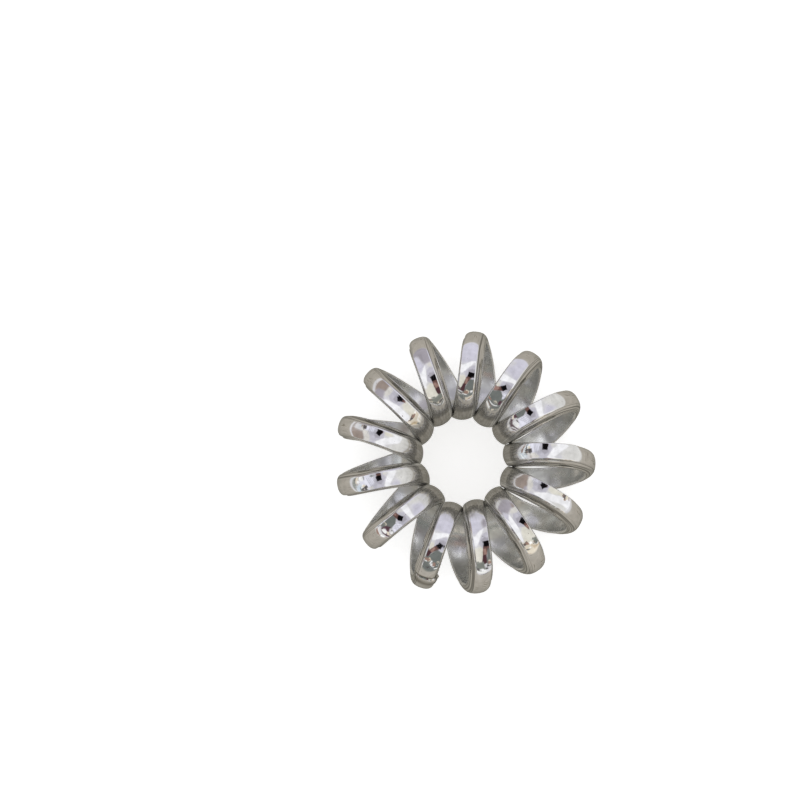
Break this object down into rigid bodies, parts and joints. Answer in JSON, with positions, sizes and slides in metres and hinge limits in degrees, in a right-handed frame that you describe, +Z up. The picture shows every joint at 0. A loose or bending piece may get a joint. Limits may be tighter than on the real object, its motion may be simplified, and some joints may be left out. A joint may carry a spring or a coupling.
{
  "type": "spiral hair tie",
  "caption": "Mirror-plated elastic cord wound into a coil and welded end to end, so that its turns stand in a ring round a hole that grips gathered hair.",
  "frame": {"origin": "Middle of the bounding box in plan, level with the surface that the tie lies on.", "axes": "+Z up through the hole, which is the ring's own axis. +Y points away from the viewer of the picture and +X to the right."},
  "size_m": [0.049, 0.0498, 0.0168],
  "materials": {
    "plated_cord": "mirror plating over a moulded elastic cord, duller on the flat inner face"
  },
  "bodies": {
    "root": {"coil": "plated_cord"}
  },
  "joints": []
}
